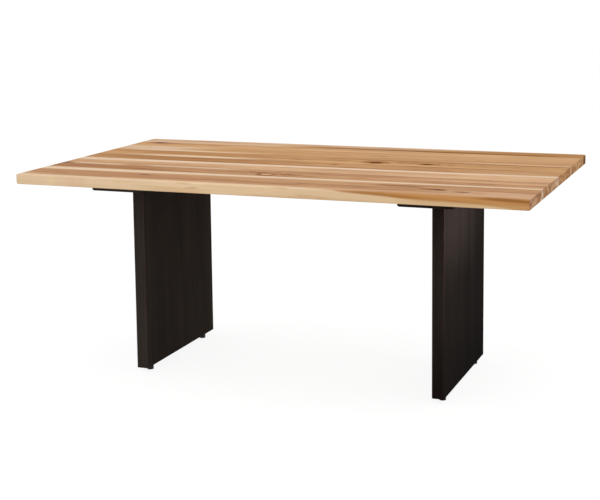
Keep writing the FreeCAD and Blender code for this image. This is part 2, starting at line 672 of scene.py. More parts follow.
@dataclass(frozen=True)
class Board:
    """The figure and the colour of one board of the top.

    The pith of its log lies at a share across the top and so far below the table surface. The
    ring is the width of a year's growth, and the climb is how steeply the log ran to the board.
    """

    light: Colour
    middle: Colour
    dark: Colour
    pith: tuple[float, float]
    ring: float = 0.006
    climb: float = 0.02
    shift: float = 0.0
    streaks: tuple[Streak, ...] = ()
    knots: tuple[Knot, ...] = ()
    marks: tuple[Mark, ...] = ()
    eyes: tuple[Eye, ...] = ()
    end_streaks_and_shade: tuple[Streak, ...] = ()
    end_share: float = 0.0
    edge: tuple[Colour, Colour] | None = None
    sap_edge: SapEdge | None = None
    veins: tuple[Vein, ...] = ()


SAP = (223, 195, 166)
PINK_SAP = (225, 193, 165)
DULL_SAP = (216, 190, 162)
DARK_LINE = (128, 82, 44)

BOARDS = (
    Board(
        light=(199, 158, 120), middle=(184, 140, 101), dark=(158, 113, 79),
        pith=(0.90, 0.19), ring=0.0065, climb=0.018, shift=3.1,
        streaks=(
            Streak(SAP, (0.785, 0.852), (0.785, 0.818), spread=0.75, slant=-0.30),
            Streak((212, 172, 134), (0.935, 1.02), stop=0.08, fade=0.20, softness=0.02,
                   strength=0.6),
            Streak((178, 130, 94), (0.855, 0.925), stop=0.34, fade=0.24, softness=0.018,
                   strength=0.6),
            Streak((176, 124, 92), (0.90, 0.95), (0.86, 0.90), start=0.16, stop=0.42, fade=0.2,
                   softness=0.012, strength=0.55),
            Streak(SAP, (0.969, 1.02), (0.978, 1.02), stop=0.64, fade=0.22, strength=0.9),
            Streak((204, 160, 124), (0.955, 0.986), start=0.60, fade=0.2, softness=0.012,
                   strength=0.6),
            Streak((212, 171, 137), (0.90, 0.99), start=0.86, fade=0.16, softness=0.016,
                   strength=0.75),
        ),
        marks=(
            Mark(0.745, 0.863, 0.180, 0.022, (122, 78, 50), 0.85),
            Mark(0.778, 0.884, 0.140, 0.014, (138, 94, 62), 0.6),
            Mark(0.815, 0.905, 0.110, 0.036, (124, 80, 52), 0.75),
            Mark(0.830, 0.906, 0.060, 0.026, (88, 52, 30), 0.95),
            Mark(0.872, 0.929, 0.070, 0.020, (112, 68, 42), 0.9),
            Mark(0.905, 0.940, 0.060, 0.012, (132, 88, 58), 0.6),
            Mark(0.245, 0.885, 0.060, 0.024, (116, 72, 44), 0.9),
        ),
        edge=((201, 147, 90), (173, 118, 65)),
        sap_edge=SapEdge(
            (224, 195, 158),
            ((0.0, 0.11), (0.50, 0.12), (0.60, 0.16), (0.636, 0.20), (0.682, 0.32),
             (0.747, 0.43), (0.779, 0.55), (0.844, 0.606), (0.909, 0.683), (0.94, 0.753),
             (0.974, 0.872), (1.0, 1.0)),
        ),
        veins=(
            Vein((144, 92, 44), 0.912, 1.05, 0.03, 0.28, 0.08, softness=0.12, strength=0.75),
            Vein((150, 98, 50), 0.67, 0.83, 0.04, 0.40, 0.06, softness=0.16, strength=0.5),
            Vein((158, 106, 56), 0.84, 0.97, 0.40, 0.30, 0.05, softness=0.14, strength=0.4),
            Vein((190, 150, 106), 0.345, 0.372, 0.02, 0.06, 0.05, fade=0.010, strength=0.45),
            Vein((180, 142, 102), 0.364, 0.388, 0.50, -0.06, 0.03, fade=0.008, strength=0.55),
            Vein((204, 166, 122), 0.28, 0.40, 0.66, 0.14, 0.20, fade=0.05, strength=0.5),
            Vein((214, 170, 136), 0.105, 0.155, 0.45, 0.0, 0.50, fade=0.02, strength=0.3),
            Vein((196, 146, 108), 0.580, 0.612, 0.70, 0.04, 0.05, fade=0.012, strength=0.5),
            Vein((196, 148, 110), 0.618, 0.642, 0.80, 0.03, 0.05, fade=0.010, strength=0.5),
            Vein((192, 150, 106), 0.535, 0.565, 0.02, 0.03, 0.04, fade=0.010, strength=0.45),
            Vein((202, 164, 120), 0.48, 0.72, 0.88, 0.02, 0.06, fade=0.05, strength=0.4),
            Vein((206, 166, 116), 0.74, 1.05, 0.72, 0.25, 0.24, softness=0.20, fade=0.08,
                 strength=0.45),
            Vein((204, 168, 124), 0.42, 0.72, 0.50, 0.16, 0.30, softness=0.25, fade=0.08,
                 strength=0.27),
            Vein((184, 142, 96), 0.79, 0.91, 0.62, 0.10, 0.10, softness=0.12, strength=0.30),
        ),
    ),
    Board(
        light=(201, 157, 117), middle=(183, 139, 100), dark=(152, 106, 71),
        pith=(0.74, 0.14), ring=0.0055, climb=-0.024, shift=7.7,
        streaks=(
            Streak(SAP, (0.66, 0.705), start=0.035, stop=0.14, fade=0.04, strength=0.8),
            Streak(SAP, (0.66, 0.704), (0.66, 0.70), start=0.185, stop=0.38, fade=0.06,
                   strength=0.75),
            Streak((152, 102, 66), (0.705, 0.785), stop=0.25, fade=0.12, softness=0.014,
                   strength=0.5),
            Streak((166, 120, 86), (0.728, 0.752), (0.700, 0.724), start=0.54, fade=0.12,
                   softness=0.010, strength=0.5),
            Streak((216, 174, 136), (0.710, 0.750), (0.704, 0.744), start=0.74, fade=0.16,
                   softness=0.010, strength=0.6),
            Streak((206, 162, 126), (0.758, 0.80), start=0.80, fade=0.2, softness=0.010,
                   strength=0.3),
        ),
        knots=(
            Knot(0.469, 0.762, 0.060, 0.040, core=(200, 154, 112), rim=(196, 150, 112),
                 strength=0.2, swirl=0.018),
        ),
        marks=(
            Mark(0.012, 0.697, 0.060, 0.036, (112, 86, 72), 0.85),
            Mark(0.195, 0.696, 0.060, 0.014, (150, 104, 70), 0.7),
            Mark(0.452, 0.736, 0.080, 0.020, (114, 66, 32), 0.9),
            Mark(0.420, 0.748, 0.110, 0.014, (136, 86, 46), 0.7),
            Mark(0.470, 0.788, 0.070, 0.016, (122, 76, 44), 0.75),
            Mark(0.510, 0.754, 0.090, 0.026, (112, 66, 34), 0.9),
            Mark(0.555, 0.764, 0.090, 0.012, (144, 96, 58), 0.6),
        ),
        eyes=(
            Eye(0.468, 0.764, 0.062, 0.044),
        ),
    ),
    Board(
        light=(216, 178, 139), middle=(202, 160, 121), dark=(178, 134, 98),
        pith=(0.60, 0.17), ring=0.007, climb=0.015, shift=12.9,
        streaks=(
            Streak(SAP, (0.54, 0.601), (0.54, 0.582), spread=0.25),
            Streak((220, 184, 146), (0.642, 0.69), (0.638, 0.67), start=0.42, fade=0.2,
                   softness=0.008, strength=0.45),
            Streak((184, 138, 102), (0.600, 0.625), (0.600, 0.622), start=0.52, stop=0.86,
                   fade=0.2, softness=0.008, strength=0.5),
            Streak((218, 178, 140), (0.580, 0.63), (0.575, 0.63), start=0.82, fade=0.2,
                   softness=0.012, strength=0.5),
        ),
    ),
    Board(
        light=(202, 157, 112), middle=(183, 137, 94), dark=(155, 109, 70),
        pith=(0.52, 0.12), ring=0.005, climb=0.03, shift=19.3,
        streaks=(
            Streak((150, 102, 58), (0.525, 0.56), (0.535, 0.56), start=0.06, stop=0.76, fade=0.2,
                   softness=0.006, strength=0.5),
            Streak((158, 108, 62), (0.46, 0.54), start=0.09, stop=0.42, fade=0.2, softness=0.016,
                   strength=0.55),
            Streak((208, 164, 122), (0.50, 0.56), start=0.84, fade=0.24, softness=0.014,
                   strength=0.55),
            Streak(SAP, (0.594, 0.622), (0.544, 0.572), start=0.70, fade=0.2, strength=0.9),
            Streak(DARK_LINE, (0.456, 0.468), (0.456, 0.466), start=0.69, stop=0.94, fade=0.06,
                   softness=0.003, strength=0.75),
        ),
        knots=(
            Knot(0.548, 0.483, 0.030, 0.018, core=(120, 80, 50), rim=(168, 122, 80),
                 strength=0.7, swirl=0.006),
        ),
    ),
    Board(
        light=(210, 165, 117), middle=(190, 144, 98), dark=(161, 114, 74),
        pith=(0.39, 0.15), ring=0.0055, climb=-0.018, shift=26.1,
        streaks=(
            Streak(SAP, (0.419, 0.47), (0.428, 0.47), start=0.11, stop=0.36, fade=0.18),
            Streak((162, 112, 66), (0.335, 0.40), (0.355, 0.41), start=0.02, stop=0.38, fade=0.2,
                   softness=0.014, strength=0.5),
            Streak((212, 166, 118), (0.418, 0.47), (0.412, 0.47), start=0.38, fade=0.2,
                   softness=0.012, strength=0.5),
            Streak(DARK_LINE, (0.337, 0.351), (0.338, 0.352), start=0.50, fade=0.1,
                   softness=0.003, strength=0.6),
        ),
        knots=(
            Knot(0.619, 0.404, 0.056, 0.036),
            Knot(0.724, 0.398, 0.044, 0.026, strength=0.9),
        ),
        marks=(
            Mark(0.612, 0.405, 0.120, 0.022, (120, 70, 26), 0.75),
            Mark(0.728, 0.399, 0.110, 0.018, (128, 78, 32), 0.75),
            Mark(0.700, 0.395, 0.100, 0.012, (150, 100, 52), 0.35),
        ),
    ),
    Board(
        light=(205, 161, 115), middle=(189, 144, 99), dark=(164, 118, 76),
        pith=(0.25, 0.18), ring=0.0065, climb=0.022, shift=33.7, end_share=0.03,
        streaks=(
            Streak(DULL_SAP, (0.236, 0.300), stop=0.17, fade=0.12, softness=0.010, strength=0.7),
            Streak(SAP, (0.20, 0.238), (0.20, 0.236), stop=0.21, fade=0.12, strength=0.8),
            Streak((190, 144, 94), (0.228, 0.292), start=0.20, stop=0.50, fade=0.12,
                   softness=0.014, strength=0.6),
            Streak(SAP, (0.294, 0.318), (0.299, 0.320), start=0.05, stop=0.31, fade=0.14,
                   strength=0.9),
            Streak((170, 120, 74), (0.322, 0.35), (0.325, 0.35), stop=0.36, fade=0.16,
                   strength=0.8),
            Streak((212, 168, 124), (0.20, 0.262), start=0.62, fade=0.2, softness=0.014,
                   strength=0.5),
            Streak(PINK_SAP, (0.313, 0.328), (0.310, 0.325), start=0.77, fade=0.16, spread=0.45,
                   slant=0.3, strength=0.7),
        ),
    ),
    Board(
        light=(213, 170, 125), middle=(197, 152, 107), dark=(174, 127, 84),
        pith=(0.14, 0.14), climb=-0.026, shift=41.9, end_share=0.02,
        knots=(
            Knot(0.052, 0.110, 0.050, 0.034, core=(66, 28, 18), rim=(142, 84, 52)),
        ),
        marks=(
            Mark(0.060, 0.112, 0.150, 0.020, (132, 80, 52), 0.75),
            Mark(0.095, 0.128, 0.120, 0.012, (150, 98, 62), 0.6),
        ),
        streaks=(
            Streak((184, 136, 92), (0.09, 0.118), start=0.40, stop=0.76, fade=0.12,
                   softness=0.010, strength=0.5),
            Streak((218, 176, 132), (0.155, 0.185), (0.130, 0.160), start=0.32, stop=0.90,
                   fade=0.2, softness=0.010, strength=0.5),
            Streak((172, 124, 78), (0.185, 0.205), (0.165, 0.190), start=0.35, stop=0.80,
                   fade=0.3, softness=0.008, strength=0.35),
            Streak((212, 168, 124), (0.15, 0.22), start=0.80, fade=0.2, softness=0.014,
                   strength=0.4),
        ),
    ),
    Board(
        light=(215, 181, 147), middle=(198, 160, 126), dark=(172, 128, 88),
        pith=(0.04, 0.16), shift=48.3,
        streaks=(
            Streak((221, 188, 158), (0.058, 0.115), stop=0.28, fade=0.2, softness=0.012,
                   strength=0.6),
            Streak((176, 128, 76), (0.088, 0.106), (0.004, 0.108), start=0.66, fade=0.30,
                   softness=0.008, strength=0.95),
            Streak((186, 140, 96), (0.020, 0.080), (0.080, 0.140), start=0.34, stop=0.62,
                   fade=0.10, softness=0.010, strength=0.6),
            Streak((190, 144, 98), (0.224, 0.242), (-0.166, -0.148), start=0.34, stop=0.46,
                   fade=0.06, softness=0.008, strength=0.55),
            Streak((136, 88, 46), (0.066, 0.086), (0.070, 0.098), start=0.41, stop=0.95,
                   fade=0.08, softness=0.006, strength=0.82),
            Streak((128, 82, 42), (0.068, 0.084), (0.076, 0.092), start=0.56, stop=0.75,
                   fade=0.10, softness=0.005, strength=0.75),
            Streak(PINK_SAP, (-0.02, 0.026), (-0.02, 0.010), stop=0.86, fade=0.12, softness=0.004,
                   strength=0.8),
            Streak((200, 160, 122), (0.010, 0.044), (0.006, 0.040), start=0.06, stop=0.28,
                   fade=0.1, softness=0.010, strength=0.5),
        ),
        marks=(
            Mark(0.145, 0.024, 0.180, 0.044, (180, 140, 104)),
        ),
        end_streaks_and_shade=(
            # Painted shade: a dark band along the back corner of the end faces; the pale band after
            # it is real.
            Streak((96, 68, 44), (0.018, 0.056), softness=0.004, strength=0.8),
            Streak((216, 178, 142), (0.062, 0.082), softness=0.004, strength=0.55),
        ),
    ),
)


HICKORY_LAYERS = {
    "drift": Layer(0.9, 1.4),
    "growth": Layer(3.5, 14.0, 5.0),
    "bands": Layer(0.9, 15.0, detail=3.0),
    "flames": Layer(2.6, 40.0, 13.0, 3.0),
    "threads": Layer(3.0, 95.0, 2.0, 4.0, 0.65),
    "ripple": Layer(14.0, 55.0, 17.0),
    "pores": Layer(16.0, 800.0, 4.0),
    "sway": Layer(1.2, 6.0, 9.0),
    "fray": Layer(5.0, 60.0, 11.0),
}
STREAK_BODY = {"threads": -0.16, "flames": -0.10, "rings": -0.05}


@dataclass(frozen=True)
class HickoryFinish:
    """Natural hickory under a satin varnish, with the sapwood, knots and marks of a board."""

    plan: TopPlan = TopPlan()
    board_shares: tuple[float, ...] = (0.20, 0.12, 0.125, 0.10, 0.12, 0.125, 0.11, 0.10)
    drift_beside: float = 0.05
    drift_below: float = 0.03
    growth_reach: float = 0.003
    sway_reach: float = 0.005
    fray_reach: float = 0.003
    early_wood: tuple[float, float] = (0.40, 0.0)
    late_wood: tuple[float, float] = (0.86, 1.0)
    rings_a_band: float = 4.5
    open_pores: tuple[float, float] = (0.18, 0.5)
    outer_edge: float = 0.001
    glue_line: float = 0.0005
    glue_core: float = 0.00015
    glue_tone: float = 0.35
    face_reach: float = 0.004
    face_tone: float = 0.8
    face_fall: float = 0.1
    curl: Layer = Layer(30.0, 3.0, 1.3, 1.0)
    curl_limits: tuple[float, float] = (0.35, 0.02)
    curl_least: float = 0.2
    flush: Layer = Layer(3.0, 12.0, 5.5)
    flush_limits: tuple[float, float] = (0.0, 0.5)
    flush_share: float = 0.45
    flush_tone: Colour = (224, 186, 152)
    end_tone: Colour = (118, 68, 40)
    gloss: float = 0.002
    relief: float = 0.00012

    def joints(self, number: int) -> list[float]:
        """The Y of the glue lines of a board, by its number from the front, from 0.

        Args:
            number: The board's number.

        Returns:
            One place, or two for a board between others.
        """
        shares = [1.0 - sum(self.board_shares[:count]) for count in (number, number + 1)]
        least = self.outer_edge
        return [self.plan.y(share) for share in shares if least < share < 1.0 - least]

    def radius(self, timber: Timber, board: Board) -> Signal:
        """The distance from the pith of the log that a board was cut from.

        Args:
            timber: The board's material.
            board: The board.

        Returns:
            The distance in metres, with the waver of the growth in it.
        """
        drift, growth = timber.grain["drift"], timber.grain["growth"]
        beside = timber.y - self.plan.y(board.pith[0]) + drift * self.drift_beside
        below = timber.depth * -1.0 + board.pith[1] + timber.x * board.climb \
            + drift * self.drift_below
        radius = (beside * beside + below * below).power(0.5) + growth * self.growth_reach
        for knot in board.knots:
            radius = radius + knot.bulge(timber)
        return radius

    def grow(self, timber: Timber, board: Board, number: int) -> None:
        """Adds what makes up a board's grain, beside its layers.

        Args:
            timber: The board's material.
            board: The board.
            number: The board's number from the front, from 0.
        """
        grain = timber.grain
        sway, fray = grain["sway"] * self.sway_reach, grain["fray"] * self.fray_reach
        grain["across"] = timber.y + sway + fray
        radius = self.radius(timber, board)
        turn = (radius / board.ring).fraction()
        grain["rings"] = turn.rise(*self.early_wood).larger(turn.rise(*self.late_wood))
        grain["years"] = timber.sum("SINE", radius * (math.tau / (board.ring * self.rings_a_band)))
        grain["pores"] = grain["pores"].rise(*self.open_pores)
        grain["ends"] = timber.end_grain()
        grain["glue"] = timber.depth * 0.0
        for joint in self.joints(number):
            line = abs(timber.y - joint).rise(self.glue_line, self.glue_core)
            grain["glue"] = grain["glue"].larger(line * self.glue_tone)

    def lay_streaks(self, timber: Timber, streaks: tuple[Streak, ...],
                    where: Signal | float = 1.0) -> None:
        """Lays pale and dark streaks over a board's colour.

        Args:
            timber: The board's material.
            streaks: The streaks, of which a later one covers an earlier one.
            where: 1 where the streaks may show.
        """
        body = timber.grain.blend(1.0, **STREAK_BODY)
        for streak in streaks:
            timber.lay(timber.shade(streak.colour, body), streak.cover(timber) * where)

    def lay_sapwood(self, timber: Timber, sap_edge: SapEdge) -> None:
        """Lays the sapwood of the front edge over a board's colour.

        Args:
            timber: The board's material.
            sap_edge: The sapwood.
        """
        curled = timber.share.rise(*self.curl_limits) * (1.0 - self.curl_least)
        timber.grain["curl"] = timber.fibres(self.curl) * (curled + self.curl_least)
        flushed = timber.fibres(self.flush).rise(*self.flush_limits) * self.flush_share
        warm = timber.coat(sap_edge.colour, self.flush_tone, flushed)
        body = timber.grain.blend(1.0, **STREAK_BODY, bands=-0.10, curl=0.10)
        timber.lay(timber.shade(warm, body), sap_edge.cover(timber))

    def lay_wood(self, timber: Timber, board: Board) -> None:
        """Lays a board's colours, from its heartwood to its knots.

        Args:
            timber: The board's material.
            board: The board.
        """
        tone = timber.grain.blend(0.42, bands=0.9, flames=0.85, threads=0.65, rings=0.24,
                                  ripple=0.35)
        front = (timber.y - self.plan.y(1.0)).rise(self.face_reach, self.face_reach / 2)
        timber.colour = timber.ramp(tone, board.light, board.middle, board.dark)
        if board.edge:
            face = tone * self.face_tone + timber.level * self.face_fall
            timber.lay(timber.ramp(face, *board.edge), front)
        self.lay_streaks(timber, board.streaks)
        if board.sap_edge:
            self.lay_sapwood(timber, board.sap_edge)
        for vein in board.veins:
            timber.lay(vein.colour, vein.cover(timber) * front)
        for spot in (*board.marks, *board.eyes, *board.knots):
            spot.lay(timber)

    def material(self, number: int) -> bpy.types.Material:
        """The material of one board.

        Args:
            number: The board's number from the front, from 0.

        Returns:
            The material.
        """
        board = BOARDS[number]
        timber = Timber(f"natural_hickory_board_{number + 1}", self.plan, HICKORY_LAYERS,
                        board.shift)
        self.grow(timber, board, number)
        self.lay_wood(timber, board)
        grain = timber.grain
        sawn = grain.blend(0.23 + board.end_share, years=0.18, threads=0.5, flames=0.35)
        timber.lay(self.end_tone, grain["ends"] * sawn.larger(0.0))
        self.lay_streaks(timber, board.end_streaks_and_shade, grain["ends"])
        colour = timber.shade(timber.colour, grain.blend(1.0, glue=-1.0, pores=-0.16))
        roughness = grain.blend(0.46, threads=0.10, pores=0.12, ends=0.10)
        height = grain.blend(0.0, threads=0.35, rings=-0.25, pores=-0.8, glue=-1.0)
        return timber.finish(colour, roughness, height, self.relief,
                             {"Specular IOR Level": self.gloss})


STAIN_LAYERS = {
    "bands": Layer(1.3, 16.0, detail=3.0),
    "threads": Layer(3.5, 150.0, 3.0, 4.0, 0.65),
    "pores": Layer(14.0, 750.0, 6.0),
    "patches": Layer(9.0, 30.0, 8.0, 3.0),
}


@dataclass(frozen=True)
class ArrisWearAndHighlight:
    """What rubbing has done to the upright arrises of a slab, or a highlight painted along them,
    within a reach of them.
    """

    colour: Colour
    reach: float
    strength: float
    least: float = 0.0

    def arris(self, place: Signal, low: float, high: float) -> Signal:
        """How near a place is to either of two opposite faces of a slab.

        Args:
            place: The place, across those faces.
            low: Where the one face is.
            high: Where the other face is.

        Returns:
            A value from 0 to 1.
        """
        middle, half = (low + high) / 2, (high - low) / 2
        return abs(place - middle).rise(half - self.reach, half)

    def lay(self, recipe: Recipe, colour: Signal, low: Vector, high: Vector,
            patches: Signal) -> Signal:
        """Lays the wear or the painted highlight over a slab's colour.

        Args:
            recipe: The material.
            colour: The colour so far.
            low: The slab's lowest corner.
            high: The slab's highest corner.
            patches: Where the slab was handled more, from 0 to 1.

        Returns:
            The colour.
        """
        near = self.arris(recipe.x, low.x, high.x) * self.arris(recipe.y, low.y, high.y)
        return recipe.coat(colour, self.colour, near * (patches * self.strength + self.least))


@dataclass(frozen=True)
class BlackStainFinish:
    """Hickory stained near black, with the brown showing through at worn arrises, and with painted
    light: a highlight along the arrises, staves painted lighter and darker, and shade towards the
    foot.
    """

    deep: Colour = (33, 28, 25)
    open_grain: Colour = (54, 47, 42)
    # The wide reddish band is rubbed wear; the thin light line on each arris is a painted
    # highlight.
    wear_and_highlight: tuple[ArrisWearAndHighlight, ...] = (ArrisWearAndHighlight((70, 44, 38), 0.012, 0.30),
                              ArrisWearAndHighlight((106, 92, 84), 0.0024, 0.45, 0.05))
    worn_patches: tuple[float, float] = (0.0, 0.8)
    open_pores: tuple[float, float] = (0.15, 0.5)
    glue_line: float = 0.0009
    glue_core: float = 0.0002
    # Each stave's own tone, together with painted light.
    stave_tones_and_painted_light: tuple[float, ...] = (0.0, 0.0, 0.0, 0.0)
    painted_foot_shade: float = 0.0
    foot_rise: float = 0.42
    foot_waver: float = 0.05
    shift_by_tone: float = 31.0
    shift_by_place: float = 7.0
    gloss: float = 0.001
    relief: float = 0.00016

    def material(self, name: str, grain: Grain, low: Vector, high: Vector,
                 joints: tuple[float, ...] = (), tone: float = 0.0) -> bpy.types.Material:
        """The material of one stained piece.

        Args:
            name: The material's name.
            grain: The direction of its fibres.
            low: The lowest corner of the slab that the piece is part of.
            high: The highest corner of that slab.
            joints: The Y of its glue lines.
            tone: How much lighter this piece is painted: its own tone together with painted light.

        Returns:
            The material.
        """
        recipe = Recipe(name, grain)
        shift = tone * self.shift_by_tone + low.x * self.shift_by_place
        wood = recipe.figure(STAIN_LAYERS, shift)
        wood["pores"] = wood["pores"].rise(*self.open_pores)
        wood["glue"] = recipe.z * 0.0
        for joint in joints:
            line = abs(recipe.y - joint).rise(self.glue_line, self.glue_core)
            wood["glue"] = wood["glue"].larger(line)
        colour = recipe.ramp(wood.blend(0.42 + tone, bands=0.6, threads=0.45), self.deep,
                             self.open_grain)
        patches = wood.blend(0.5, patches=0.9).rise(*self.worn_patches)
        for wear_and_highlight in self.wear_and_highlight:
            colour = wear_and_highlight.lay(recipe, colour, low, high, patches)
        # Painted shade: the colour darkens towards the foot of the leg.
        level = recipe.z + wood["patches"] * self.foot_waver
        foot = level.rise(self.foot_rise, 0.0) * self.painted_foot_shade
        colour = recipe.shade(colour, wood.blend(1.0, glue=-0.45, pores=-0.35))
        colour = recipe.shade(colour, 1.0 - foot)
        roughness = wood.blend(0.47, threads=0.12, pores=0.10, bands=0.08)
        height = wood.blend(0.0, threads=0.5, pores=-0.9, glue=-0.8)
        return recipe.finish(colour, roughness, height, self.relief,
                             {"Specular IOR Level": self.gloss})


@dataclass(frozen=True)
class SteelFinish:
    """Plated or blackened steel, with the faint marks of its turning and handling."""

    name: str
    colour: Colour
    worn: Colour
    roughness: float = 0.36
    blotches: Layer = Layer(130.0, 130.0, 2.0, 3.0)
    scores: Layer = Layer(2400.0, 180.0, 4.0)
    worn_limits: tuple[float, float] = (-0.1, 0.6)
    metal: float = 1.0
    relief: float = 0.00003

    def material(self) -> bpy.types.Material:
        """The material, with its fibres standing for the marks of the turning.

        Returns:
            The material.
        """
        recipe = Recipe(self.name, Grain.UP_LEG)
        steel = recipe.figure({"blotches": self.blotches, "scores": self.scores})
        worn = steel.blend(0.0, blotches=1.0, scores=0.5).rise(*self.worn_limits)
        roughness = steel.blend(self.roughness, blotches=0.14, scores=0.10)
        height = steel.blend(0.0, scores=0.6, blotches=0.4)
        return recipe.finish(recipe.coat(self.colour, self.worn, worn), roughness, height,
                             self.relief, {"Metallic": self.metal})


@dataclass(frozen=True)
class MouldedFinish:
    """Black moulded plastic with a fine even texture, scuffed towards the floor."""

    name: str = "black_pad_plastic"
    colour: Colour = (24, 24, 25)
    scuffed: Colour = (50, 49, 48)
    roughness: float = 0.52
    texture: Layer = Layer(1500.0, 1500.0, 1.0, 1.0)
    cloud: Layer = Layer(90.0, 90.0, 6.0, 3.0)
    scuff_height: float = 0.005
    scuff_share: float = 0.7
    speckle_limits: tuple[float, float] = (0.2, 0.9)
    speckle_share: float = 0.25
    gloss: float = 0.35
    relief: float = 0.00005

    def material(self) -> bpy.types.Material:
        """Mixes the material.

        Returns:
            The material.
        """
        recipe = Recipe(self.name, Grain.UP_LEG)
        skin = recipe.figure({"texture": self.texture, "cloud": self.cloud})
        skin["scuff"] = recipe.z.rise(self.scuff_height, 0.0) * (skin["cloud"] + 0.5)
        speckle = skin.blend(0.0, texture=1.0, cloud=0.5).rise(*self.speckle_limits)
        colour = recipe.coat(self.colour, self.scuffed, skin["scuff"] * self.scuff_share)
        colour = recipe.coat(colour, self.scuffed, speckle * self.speckle_share)
        roughness = skin.blend(self.roughness, texture=0.15, scuff=0.15)
        height = skin.blend(0.0, texture=0.7, cloud=0.3)
        return recipe.finish(colour, roughness, height, self.relief,
                             {"Specular IOR Level": self.gloss})


@dataclass(frozen=True)
class BirchFinish:
    """Bare pressed birch with glue grooves, for the loose tenons inside the joints."""

    name: str = "tenon_birch"
    light: Colour = (226, 202, 168)
    dark: Colour = (196, 164, 124)
    roughness: float = 0.62
    threads: Layer = Layer(6.0, 160.0, 1.0, 4.0)
    grooves_a_metre: float = 250.0
    groove_limits: tuple[float, float] = (0.72, 0.95)
    relief: float = 0.0002

    def material(self) -> bpy.types.Material:
        """Mixes the material.

        Returns:
            The material.
        """
        recipe = Recipe(self.name, Grain.UP_LEG)
        wood = recipe.figure({"threads": self.threads})
        wood["groove"] = (recipe.y * self.grooves_a_metre).fraction().rise(*self.groove_limits)
        colour = recipe.ramp(wood.blend(0.4, threads=1.0, groove=0.3), self.light, self.dark)
        return recipe.finish(colour, wood.blend(self.roughness, threads=0.1),
                             wood.blend(0.0, threads=0.3, groove=-1.0), self.relief, {})


# Painted light and shade: both legs carry one stain, painted lighter on the left leg and darker on
# the right leg, whose stave tones also paint a sheen that fades towards its back.
LEFT_LEG_STAIN_PAINTED_LIGHT = BlackStainFinish(deep=(40, 35, 32), open_grain=(63, 57, 52),
                                 stave_tones_and_painted_light=(0.04, 0.10, 0.13, 0.08))
RIGHT_LEG_STAIN_PAINTED_SHADE = BlackStainFinish(deep=(26, 21, 19), open_grain=(51, 44, 40), painted_foot_shade=0.55,
                                stave_tones_and_painted_light=(0.03, -0.08, -0.17, -0.26))
BLACK_STEEL = SteelFinish("black_steel", (44, 44, 46), (96, 92, 88), 0.40)
# Painted gleam: the washers are painted much lighter than black steel, standing in for the gleam
# they catch.
PAINTED_GLEAM_STEEL = SteelFinish("worn_black_steel", (104, 101, 96), (150, 146, 138), 0.34)
ZINC_STEEL = SteelFinish("zinc_steel", (186, 188, 188), (206, 200, 182), 0.32)


# Modelling by hand


def clear_selection() -> None:
    """Deselects every object, so that the next operator acts on its own piece alone."""
    bpy.ops.object.select_all(action="DESELECT")


def make_active(piece: Piece) -> None:
    """Selects one piece alone and makes it the active one.

    Args:
        piece: The piece.
    """
    clear_selection()
    piece.select_set(True)
    bpy.context.view_layer.objects.active = piece


@contextmanager
def edit(piece: Piece) -> Iterator[None]:
    """Opens a piece in edit mode with nothing selected, and closes it afterwards.

    Args:
        piece: The piece to shape.

    Yields:
        Nothing.
    """
    make_active(piece)
    bpy.ops.object.mode_set(mode="EDIT")
    bpy.ops.mesh.select_all(action="DESELECT")
    yield
    bpy.ops.object.mode_set(mode="OBJECT")


def pick_faces(test: Callable[[Vector, Vector], bool]) -> None:
    """Selects only the faces of the edited piece that pass a test.

    Args:
        test: Takes a face's middle and its normal.
    """
    bpy.ops.mesh.select_mode(type="FACE")
    mesh = bpy.context.active_object.data
    sketch = bmesh.from_edit_mesh(mesh)
    for face in sketch.faces:
        face.select_set(test(face.calc_center_median(), face.normal))
    sketch.select_flush_mode()
    bmesh.update_edit_mesh(mesh)


def pick_edges(test: Callable[[Vector, Vector], bool]) -> None:
    """Selects only the edges of the edited piece that pass a test.

    Args:
        test: Takes an edge's two ends.
    """
    bpy.ops.mesh.select_mode(type="EDGE")
    mesh = bpy.context.active_object.data
    sketch = bmesh.from_edit_mesh(mesh)
    for edge in sketch.edges:
        edge.select_set(False)
    for edge in sketch.edges:
        if test(edge.verts[0].co, edge.verts[1].co):
            edge.select_set(True)
    bmesh.update_edit_mesh(mesh)


def flat_at(level: float) -> Callable[[Vector, Vector], bool]:
    """A test for edges that lie flat at a level."""
    return lambda a, b: abs(a.z - level) < TOUCH and abs(b.z - level) < TOUCH


def pick_corners(test: Callable[[Vector], bool]) -> None:
    """Selects only the corners of the edited piece that pass a test.

    Args:
        test: Takes a corner's place.
    """
    bpy.ops.mesh.select_mode(type="VERT")
    mesh = bpy.context.active_object.data
    sketch = bmesh.from_edit_mesh(mesh)
    for corner in sketch.verts:
        corner.select_set(test(corner.co))
    sketch.select_flush_mode()
    bmesh.update_edit_mesh(mesh)


def cylinder(name: str, radius: float, low: float, high: float, sides: int) -> Piece:
    """Adds a cylinder on the upright axis through the origin.

    Args:
        name: The piece's name.
        radius: Its radius to the corners.
        low: The level of its lower end.
        high: The level of its upper end.
        sides: How many sides it has.

    Returns:
        The piece, with its place in its mesh.
    """
    clear_selection()
    bpy.ops.mesh.primitive_cylinder_add(vertices=sides, radius=radius, depth=high - low,
                                        location=(0, 0, (low + high) / 2),
                                        rotation=(0, 0, math.radians(90)))
    piece = bpy.context.active_object
    piece.name = piece.data.name = name
    bpy.ops.object.transform_apply(location=True, rotation=True, scale=True)
    return piece


def apply_modifier(piece: Piece, kind: str, **settings: object) -> None:
    """Puts a modifier on a piece and applies it.

    Args:
        piece: The piece to change.
        kind: The modifier's type.
        settings: The modifier's settings.
    """
    make_active(piece)
    modifier = piece.modifiers.new(kind.title(), kind)
    for name, value in settings.items():
        setattr(modifier, name, value)
    bpy.ops.object.modifier_apply(modifier=modifier.name)


